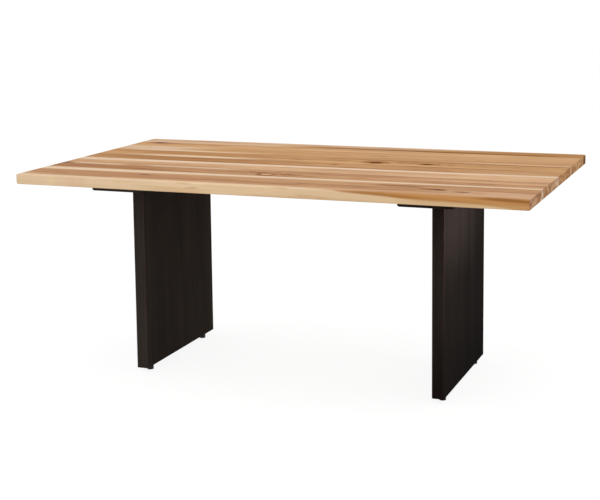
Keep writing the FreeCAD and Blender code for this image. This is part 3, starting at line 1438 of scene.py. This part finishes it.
def join(name: str, parts: list[Piece]) -> Piece:
    """Joins several solids into one piece.

    Args:
        name: The joined piece's name.
        parts: The solids.

    Returns:
        The joined piece.
    """
    clear_selection()
    for part in parts:
        part.select_set(True)
    bpy.context.view_layer.objects.active = parts[0]
    bpy.ops.object.join()
    joined = bpy.context.active_object
    joined.name = joined.data.name = name
    return joined


def smooth(piece: Piece, degrees: float = 32.0) -> None:
    """Shades a piece smooth except over its sharp edges, with its normals outwards.

    Args:
        piece: The piece.
        degrees: How sharp an edge has to be to stay an edge.
    """
    with edit(piece):
        bpy.ops.mesh.select_all(action="SELECT")
        bpy.ops.mesh.remove_doubles(threshold=TOUCH)
        bpy.ops.mesh.normals_make_consistent(inside=False)
    make_active(piece)
    bpy.ops.object.shade_smooth_by_angle(angle=math.radians(degrees))


def copy_to(pattern: Piece, name: str, x: float, y: float) -> Piece:
    """Copies a pattern piece to its place, with a mesh of its own.

    Args:
        pattern: The piece on the upright axis through the origin.
        name: The copy's name.
        x: The X of the copy's axis.
        y: The Y of the copy's axis.

    Returns:
        The copy.
    """
    copy = pattern.copy()
    copy.data = pattern.data.copy()
    copy.name = copy.data.name = name
    copy.data.transform(Matrix.Translation((x, y, 0)))
    bpy.context.scene.collection.objects.link(copy)
    return copy


def discard(pattern: Piece) -> None:
    """Removes a pattern piece once its copies are made."""
    bpy.data.objects.remove(pattern)


def dress(piece: Piece, material: bpy.types.Material) -> None:
    """Gives a piece one finish all over.

    Args:
        piece: The piece.
        material: The finish's material.
    """
    for number in range(len(piece.material_slots)):
        piece.material_slots[number].material = material
    if not piece.material_slots:
        piece.data.materials.append(material)


@dataclass(frozen=True)
class HexBar:
    """A six-sided head or collar whose corners are turned down to a chamfer."""

    width: float
    chamfer: float = 0.0011
    chamfer_height: float = 0.0006
    blank_sides: int = 72
    blank_beyond: float = 0.00005

    def build(self, name: str, low: float, high: float, both_ends: bool) -> Piece:
        """Makes the head between two levels.

        Args:
            name: The piece's name.
            low: The level of its outer face.
            high: The level of its inner face.
            both_ends: Whether both faces are turned, or the outer one alone.

        Returns:
            The piece.
        """
        corner = self.width / 2 / math.cos(math.radians(30))
        head = cylinder(name, corner, low, high, 6)
        rise = self.chamfer_height
        blank_high = high - rise if both_ends else high + rise
        blank = cylinder(f"{name}_blank", corner + self.blank_beyond, low + rise, blank_high,
                         self.blank_sides)
        with edit(blank):
            for facing in (-1, 1) if both_ends else (-1,):
                pick_faces(lambda middle, normal, facing=facing: normal.z * facing > FLAT)
                bpy.ops.mesh.inset(thickness=self.chamfer, depth=rise)
        apply_modifier(head, "BOOLEAN", operation="INTERSECT", solver="EXACT", object=blank)
        discard(blank)
        return head


@dataclass(frozen=True)
class ScrewThread:
    """A coarse metric thread, cut as one unbroken helix.

    Three corners between the crests draw its tooth. Each has a level and a shift downwards, as
    shares of the pitch, and the share of the thread's depth that it lies inwards.
    """

    radius: float = 0.004
    pitch: float = 0.00125
    depth: float = 0.00068
    tooth: tuple[tuple[float, float, float], ...] = ((-0.25, 0.10, 0.0), (0.0, 0.02, 1.0),
                                                     (0.25, 0.08, 1.0))
    steps: int = 24
    beyond: float = 1.5
    tip: float = 0.0006
    weld: float = 0.00001

    def build(self, name: str, low: float, high: float) -> Piece:
        """Makes a threaded rod between two levels, with a chamfer at its upper end.

        Args:
            name: The piece's name.
            low: The level of its lower end.
            high: The level of its upper end.

        Returns:
            The piece, closed at both ends.
        """
        clear_selection()
        start = low - self.pitch * self.beyond
        bpy.ops.mesh.primitive_plane_add(size=self.pitch, location=(0, 0, start),
                                         rotation=(math.radians(90), 0, 0))
        rod = bpy.context.active_object
        rod.name = rod.data.name = name
        bpy.ops.object.transform_apply(location=False, rotation=True, scale=True)
        self.draw_profile(rod)
        turns = math.ceil((high - start) / self.pitch) + 2
        apply_modifier(rod, "SCREW", axis="Z", angle=math.tau, screw_offset=self.pitch,
                       iterations=turns, steps=self.steps, render_steps=self.steps,
                       use_merge_vertices=True, merge_threshold=self.weld)
        bpy.ops.object.transform_apply(location=True, rotation=True, scale=True)
        shoulder = high - self.tip
        with edit(rod):
            for level, side in ((low, "clear_inner"), (shoulder, "clear_outer")):
                bpy.ops.mesh.select_all(action="SELECT")
                bpy.ops.mesh.bisect(plane_co=(0, 0, level), plane_no=(0, 0, 1), use_fill=True,
                                    **{side: True})
            bpy.ops.mesh.select_all(action="SELECT")
            bpy.ops.mesh.normals_make_consistent(inside=False)
            pick_faces(lambda middle, normal: middle.z > shoulder - self.weld
                       and abs(normal.z) > FLAT)
            bpy.ops.mesh.inset(thickness=self.tip, depth=self.tip)
        return rod

    def draw_profile(self, rod: Piece) -> None:
        """Turns one upright edge of a small plane into the outline of one tooth.

        Args:
            rod: The plane, centred on the axis.
        """
        with edit(rod):
            pick_corners(lambda place: place.x < 0)
            bpy.ops.mesh.delete(type="VERT")
            bpy.ops.mesh.select_all(action="SELECT")
            bpy.ops.mesh.subdivide(number_cuts=3)
            bpy.ops.mesh.select_all(action="SELECT")
            bpy.ops.transform.translate(value=(self.radius - self.pitch / 2, 0, 0))
            for share, down, inwards in self.tooth:
                level = self.pitch * share
                pick_corners(lambda place, level=level: abs(place.z - level) < self.pitch / 16)
                bpy.ops.transform.translate(value=(-self.depth * inwards, 0, -self.pitch * down))


# Sub-assemblies


@dataclass
class TableTop:
    """The glued plank top, with the threaded inserts in its underside."""

    boards: int = 8
    finish: HickoryFinish = HickoryFinish()

    def build(self, nodes: dict[str, Piece]) -> list[Piece]:
        """Dresses the boards and the inserts.

        Args:
            nodes: The CAD nodes by name.

        Returns:
            The dressed pieces.
        """
        dressed = []
        for number in range(self.boards):
            board = nodes[f"top_board_{number + 1}"]
            dress(board, self.finish.material(number))
            dressed.append(board)
        dress(nodes["top_inserts"], ZINC_STEEL.material())
        return [*dressed, nodes["top_inserts"]]


@dataclass
class SlabLeg:
    """One slab leg of upright staves and its cleat."""

    side: Side
    finish: BlackStainFinish
    staves: int = 4

    def build(self, nodes: dict[str, Piece]) -> list[Piece]:
        """Dresses the staves and the cleat.

        Args:
            nodes: The CAD nodes by name.

        Returns:
            The dressed pieces.
        """
        side = self.side.name.lower()
        names = [f"{side}_leg_stave_{number + 1}" for number in range(self.staves)]
        boxes = [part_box(name) for name in names]
        low, high = boxes[0][0], boxes[-1][1]
        joints = tuple(box[1].y for box in boxes[:-1])
        dressed = []
        for number, name in enumerate(names):
            material = self.finish.material(f"black_stained_{name}", Grain.UP_LEG, low, high,
                                            joints, self.finish.stave_tones_and_painted_light[number])
            dress(nodes[name], material)
            dressed.append(nodes[name])
        cleat = nodes[f"{side}_cleat"]
        dress(cleat, self.finish.material(f"black_stained_{side}_cleat", Grain.ALONG_CLEAT,
                                          *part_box(cleat.name)))
        return [*dressed, cleat]


@dataclass
class TopFixings:
    """The bolts and washers that hold the cleats to the top."""

    bolt_beside_leg: float = 0.058
    bolt_from_middle: float = 0.400
    cleat_low: float = 0.704
    washer_radius: float = 0.012
    washer_hole: float = 0.0045
    washer_thickness: float = 0.0016
    washer_sides: int = 64
    washer_round: float = 0.00035
    head: HexBar = HexBar(0.013)
    head_height: float = 0.0053
    shank: ScrewThread = ScrewThread()
    shank_high: float = 0.743
    shank_overlap: float = 0.0005

    @property
    def washer_low(self) -> float:
        """The level at which the bolts' heads bear on the washers."""
        return self.cleat_low - self.washer_thickness

    def make_washer(self) -> Piece:
        """Models one stamped washer with its hole and a rolled outer rim.

        Returns:
            The pattern washer.
        """
        washer = cylinder("washer_pattern", self.washer_radius, self.washer_low, self.cleat_low,
                          self.washer_sides)
        inside, outside = self.washer_hole / RIM, self.washer_radius * RIM
        with edit(washer):
            pick_faces(lambda middle, normal: abs(normal.z) > FLAT)
            bpy.ops.mesh.inset(thickness=self.washer_radius - self.washer_hole,
                               use_individual=True)
            pick_faces(lambda middle, normal: middle.xy.length < inside and abs(normal.z) > FLAT)
            bpy.ops.mesh.delete(type="FACE")
            pick_edges(lambda a, b: max(a.xy.length, b.xy.length) < inside and a.z == b.z)
            bpy.ops.mesh.bridge_edge_loops()
            pick_edges(lambda a, b: min(a.xy.length, b.xy.length) > outside
                       and abs(a.z - b.z) < TOUCH)
            bpy.ops.mesh.bevel(offset=self.washer_round, segments=3, affect="EDGES")
        smooth(washer)
        return washer

    def make_bolt(self) -> Piece:
        """Models one bolt: a chamfered six-sided head and its threaded shank.

        Returns:
            The pattern bolt.
        """
        head = self.head.build("bolt_head", self.washer_low - self.head_height, self.washer_low,
                               both_ends=False)
        shank = self.shank.build("bolt_shank", self.washer_low - self.shank_overlap,
                                 self.shank_high)
        bolt = join("bolt_pattern", [head, shank])
        smooth(bolt)
        return bolt

    def build(self) -> list[Piece]:
        """Places a bolt and a washer at each of the eight slots.

        Returns:
            The placed pieces.
        """
        patterns = {"bolt": (self.make_bolt(), "top_bolts", BLACK_STEEL.material()),
                    "washer": (self.make_washer(), "bolt_washers", PAINTED_GLEAM_STEEL.material())}
        placed = []
        for side, end, corner in corners():
            for row, beside in (("inner", -side.value), ("outer", side.value)):
                x = side.value * LEG_PLACE + beside * self.bolt_beside_leg
                y = end.value * self.bolt_from_middle
                for kind, (pattern, node, steel) in patterns.items():
                    piece = copy_to(pattern, f"{corner}_{row}_{kind}", x, y)
                    dress(piece, steel)
                    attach(piece, "root")
                    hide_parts(node)
                    placed.append(piece)
        for pattern, _, _ in patterns.values():
            discard(pattern)
        return placed


@dataclass
class Leveller:
    """A screw leveller: a stud that turns in the leg and a pad that rides up and down with it."""

    from_middle: float = 0.227
    pad_radius: float = 0.01225
    pad_high: float = 0.014
    pad_sides: int = 72
    foot_round: float = 0.0016
    foot_steps: int = 5
    rim_round: float = 0.0009
    rim_steps: int = 4
    dish_outer: float = 0.0104
    dish_inner: float = 0.0081
    dish_depth: float = 0.0009
    bore_radius: float = 0.00305
    bore_depth: float = 0.0093
    waist_low: float = 0.0062
    waist_high: float = 0.0078
    waist_depth: float = 0.0004
    waist_slope: float = 0.0002
    pin_radius: float = 0.0030
    pin_low: float = 0.005
    pin_sides: int = 40
    pin_round: float = 0.0005
    collar: HexBar = HexBar(0.013)
    collar_high: float = 0.020
    thread: ScrewThread = ScrewThread()
    thread_high: float = 0.044
    overlap: float = 0.001

    def make_pad(self) -> Piece:
        """Models one moulded pad: rounded foot, waist line, dished top and the pin's bore.

        Returns:
            The pattern pad.
        """
        pad = cylinder("pad_pattern", self.pad_radius, 0.0, self.pad_high, self.pad_sides)
        with edit(pad):
            self.round_rims()
            self.sink_top()
            self.draw_waist()
        smooth(pad)
        return pad

    def round_rims(self) -> None:
        """Rounds the foot and the upper rim of the edited pad."""
        for level, offset, steps in ((0.0, self.foot_round, self.foot_steps),
                                     (self.pad_high, self.rim_round, self.rim_steps)):
            pick_edges(flat_at(level))
            bpy.ops.mesh.bevel(offset=offset, segments=steps, affect="EDGES")

    def sink_top(self) -> None:
        """Sinks the pin's bore and then the dish about it into the top of the edited pad."""
        pick_faces(lambda middle, normal: normal.z > FLAT)
        rings = (self.pad_radius - self.rim_round, self.dish_outer, self.dish_inner,
                 self.bore_radius)
        for outer, inner in zip(rings, rings[1:]):
            bpy.ops.mesh.inset(thickness=outer - inner)
        bpy.ops.mesh.extrude_region_move(TRANSFORM_OT_translate={"value": (0, 0, -self.bore_depth)})
        pick_faces(lambda middle, normal: normal.z > FLAT
                   and abs(middle.z - self.pad_high) < TOUCH
                   and self.dish_inner < middle.xy.length < self.dish_outer)
        bpy.ops.mesh.extrude_region_move(TRANSFORM_OT_translate={"value": (0, 0, -self.dish_depth)})

    def draw_waist(self) -> None:
        """Presses the waist line into the side of the edited pad."""
        for level in (self.waist_low, self.waist_high):
            bpy.ops.mesh.select_all(action="SELECT")
            bpy.ops.mesh.bisect(plane_co=(0, 0, level), plane_no=(0, 0, 1))
        pick_faces(lambda middle, normal: self.waist_low < middle.z < self.waist_high
                   and middle.xy.length > self.pad_radius * RIM)
        bpy.ops.mesh.inset(thickness=self.waist_slope, depth=-self.waist_depth)

    def make_stud(self) -> Piece:
        """Models one stud: the pin, the turned collar and the thread.

        Returns:
            The pattern stud.
        """
        pin = cylinder("stud_pin", self.pin_radius, self.pin_low, self.pad_high + self.overlap,
                       self.pin_sides)
        with edit(pin):
            pick_edges(flat_at(self.pin_low))
            bpy.ops.mesh.bevel(offset=self.pin_round, segments=2, affect="EDGES")
        collar = self.collar.build("stud_collar", self.pad_high, self.collar_high, both_ends=True)
        rod = self.thread.build("stud_thread", self.collar_high - self.overlap, self.thread_high)
        stud = join("stud_pattern", [collar, rod, pin])
        smooth(stud)
        return stud

    def build(self) -> list[Piece]:
        """Places a pad and a stud under each end of each leg.

        Returns:
            The placed pieces.
        """
        finishes = {"pad": (MouldedFinish().material(), "black_pad_plastic"),
                    "stud": (BLACK_STEEL.material(), "black_steel")}
        patterns = {"pad": self.make_pad(), "stud": self.make_stud()}
        placed = []
        for side, end, corner in corners():
            for kind, (material, slot) in finishes.items():
                piece = copy_to(patterns[kind], f"{corner}_leveller_{kind}",
                                side.value * LEG_PLACE, end.value * self.from_middle)
                dress(piece, material)
                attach(piece, f"{corner}_{kind}_body")
                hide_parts(f"{corner}_{kind}")
                placed.append(piece)
        for pattern in patterns.values():
            discard(pattern)
        return placed


@dataclass
class HiddenJoinery:
    """The loose tenons and the inserts in the feet of the legs."""

    def build(self, nodes: dict[str, Piece]) -> list[Piece]:
        """Dresses the hidden nodes.

        Args:
            nodes: The CAD nodes by name.

        Returns:
            The dressed pieces.
        """
        dress(nodes["leg_tenons"], BirchFinish().material())
        dress(nodes["leveller_inserts"], ZINC_STEEL.material())
        return [nodes["leg_tenons"], nodes["leveller_inserts"]]


# Studio


@dataclass(frozen=True)
class SoftLamp:
    """A large soft lamp that hangs at a place and shines at another."""

    name: str
    place: tuple[float, float, float]
    aim: tuple[float, float, float]
    width: float
    depth: float
    power: float
    spread: float = 180.0

    def build(self) -> None:
        """Hangs the lamp."""
        light = bpy.data.lights.new(self.name, "AREA")
        light.spread = math.radians(self.spread)
        light.shape, light.size, light.size_y = "RECTANGLE", self.width, self.depth
        light.energy = self.power
        lamp = bpy.data.objects.new(self.name, light)
        lamp.location = self.place
        towards = Vector(self.aim) - Vector(self.place)
        lamp.rotation_euler = towards.to_track_quat("-Z", "Y").to_euler()
        lamp.visible_camera = False
        bpy.context.scene.collection.objects.link(lamp)


@dataclass
class Studio:
    """A plain pale floor, an even white surround and soft lamps."""

    floor_size: float = 400.0
    floor_colour: Colour = (226, 226, 226)
    floor_glow: float = 0.88
    floor_shadow: float = 0.18
    white: Colour = (255, 255, 255)
    surround: float = 0.75
    lamps: tuple[SoftLamp, ...] = (
        SoftLamp("overhead_lamp", (-0.3, -0.2, 3.2), (0.0, 0.0, 0.7), 3.4, 2.6, 20.0),
        SoftLamp("front_lamp", (-0.6, -4.6, 2.6), (0.0, 0.0, 0.6), 3.2, 2.2, 50.0),
        SoftLamp("right_lamp", (4.2, 0.8, 1.6), (0.5, 0.0, 0.5), 2.2, 1.8, 20.0),
        SoftLamp("leg_lamp", (0.95, -0.07, 0.56), (0.58, -0.07, 0.65), 0.50, 0.08, 0.9, 80.0),
    )

    def build(self) -> None:
        """Lays the floor, lights the surround and hangs the lamps."""
        self.lay_floor()
        self.light_surround()
        for lamp in self.lamps:
            lamp.build()
        bpy.context.scene.view_settings.view_transform = "Standard"

    def seen(self, tree: bpy.types.NodeTree) -> bpy.types.NodeSocket:
        """1 where the camera, a reflection or clear material looks at the surround itself.

        Args:
            tree: The nodes of the floor or of the surround.

        Returns:
            A value of 0 or 1.
        """
        path = add_node(tree, "ShaderNodeLightPath")
        largest = path.outputs["Is Camera Ray"]
        for name in ("Is Glossy Ray", "Is Transmission Ray"):
            node = add_node(tree, "ShaderNodeMath", {"operation": "MAXIMUM"},
                            {0: largest, 1: path.outputs[name]})
            largest = node.outputs[0]
        return largest

    def choose(self, tree: bpy.types.NodeTree, unseen: bpy.types.Node,
               seen: bpy.types.Node) -> bpy.types.NodeSocket:
        """One shader where the surround itself is seen, and another elsewhere.

        Args:
            tree: The nodes of the floor or of the surround.
            unseen: The shader that lights the table.
            seen: The shader that is looked at.

        Returns:
            The blended shader.
        """
        choice = add_node(tree, "ShaderNodeMixShader",
                          inputs={0: self.seen(tree), 1: unseen.outputs[0], 2: seen.outputs[0]})
        return choice.outputs[0]

    def lay_floor(self) -> None:
        """Makes the floor, which keeps the table's shadow."""
        clear_selection()
        bpy.ops.mesh.primitive_plane_add(size=self.floor_size, location=(0, 0, 0))
        floor = bpy.context.active_object
        floor.name = floor.data.name = "studio_floor"
        material = bpy.data.materials.new("studio_floor")
        material.use_nodes = True
        tree = material.node_tree
        tree.nodes.clear()
        plain = add_node(tree, "ShaderNodeBsdfDiffuse",
                         inputs={"Color": linear(self.floor_colour)})
        shadow = add_node(tree, "ShaderNodeBsdfDiffuse",
                          inputs={"Color": (self.floor_shadow,) * 3 + (1.0,)})
        glow = add_node(tree, "ShaderNodeEmission", inputs={"Strength": self.floor_glow})
        both = add_node(tree, "ShaderNodeAddShader",
                        inputs={0: shadow.outputs[0], 1: glow.outputs[0]})
        add_node(tree, "ShaderNodeOutputMaterial",
                 inputs={"Surface": self.choose(tree, plain, both)})
        floor.data.materials.append(material)

    def light_surround(self) -> None:
        """Makes the surround white where it is seen and an even light elsewhere."""
        world = bpy.data.worlds.new("studio_surround")
        world.use_nodes = True
        tree = world.node_tree
        tree.nodes.clear()
        white, light = (add_node(tree, "ShaderNodeBackground",
                                 inputs={"Color": linear(self.white), "Strength": strength})
                        for strength in (1.0, self.surround))
        add_node(tree, "ShaderNodeOutputWorld",
                 inputs={"Surface": self.choose(tree, light, white)})
        bpy.context.scene.world = world


@dataclass
class PhotographView:
    """The camera at the photograph's place, with its frame measured in pixels."""

    image_width: float = 600.0
    image_height: float = 500.0
    focal_pixels: float = 1329.09
    axis_column: float = 300.5
    axis_row: float = 150.5
    sensor_width: float = 36.0
    place: tuple[float, float, float] = (1.69642, -4.50905, 1.44849)
    yaw: float = 0.36732
    pitch: float = 0.13129
    roll: float = 0.01135
    reach: float = 200.0

    def build(self) -> Piece:
        """Sets up the camera.

        Returns:
            The camera.
        """
        forward = Vector((-math.sin(self.yaw) * math.cos(self.pitch),
                          math.cos(self.yaw) * math.cos(self.pitch), -math.sin(self.pitch)))
        level = Vector((math.cos(self.yaw), math.sin(self.yaw), 0))
        down = forward.cross(level)
        right = level * math.cos(self.roll) + down * math.sin(self.roll)
        up = level * math.sin(self.roll) - down * math.cos(self.roll)
        lens = bpy.data.cameras.new("photograph_view")
        lens.sensor_fit = "HORIZONTAL"
        lens.sensor_width = self.sensor_width
        lens.lens = self.focal_pixels / self.image_width * self.sensor_width
        lens.shift_x = (self.image_width / 2 - self.axis_column) / self.image_width
        lens.shift_y = (self.axis_row - self.image_height / 2) / self.image_width
        lens.clip_end = self.reach
        camera = bpy.data.objects.new("photograph_view", lens)
        turn = Matrix((right, up, -forward)).transposed()
        camera.matrix_world = Matrix.Translation(self.place) @ turn.to_4x4()
        bpy.context.scene.collection.objects.link(camera)
        bpy.context.scene.camera = camera
        return camera


def main() -> None:
    """Builds the table's looks piece by piece, then the studio."""
    logging.basicConfig(level=logging.INFO, format="%(message)s")
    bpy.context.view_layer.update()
    nodes = frame["nodes"]
    assemblies: tuple[tuple[str, Callable[[], list[Piece]]], ...] = (
        ("table top", lambda: TableTop().build(nodes)),
        ("left leg", lambda: SlabLeg(Side.LEFT, LEFT_LEG_STAIN_PAINTED_LIGHT).build(nodes)),
        ("right leg", lambda: SlabLeg(Side.RIGHT, RIGHT_LEG_STAIN_PAINTED_SHADE).build(nodes)),
        ("hidden joinery", lambda: HiddenJoinery().build(nodes)),
        ("top fixings", lambda: TopFixings().build()),
        ("levellers", lambda: Leveller().build()),
    )
    for title, build in assemblies:
        for piece in build():
            LOG.info("%s: %s, %d faces", title, piece.name, len(piece.data.polygons))
    Studio().build()
    PhotographView().build()


if __name__ == "__main__":
    main()
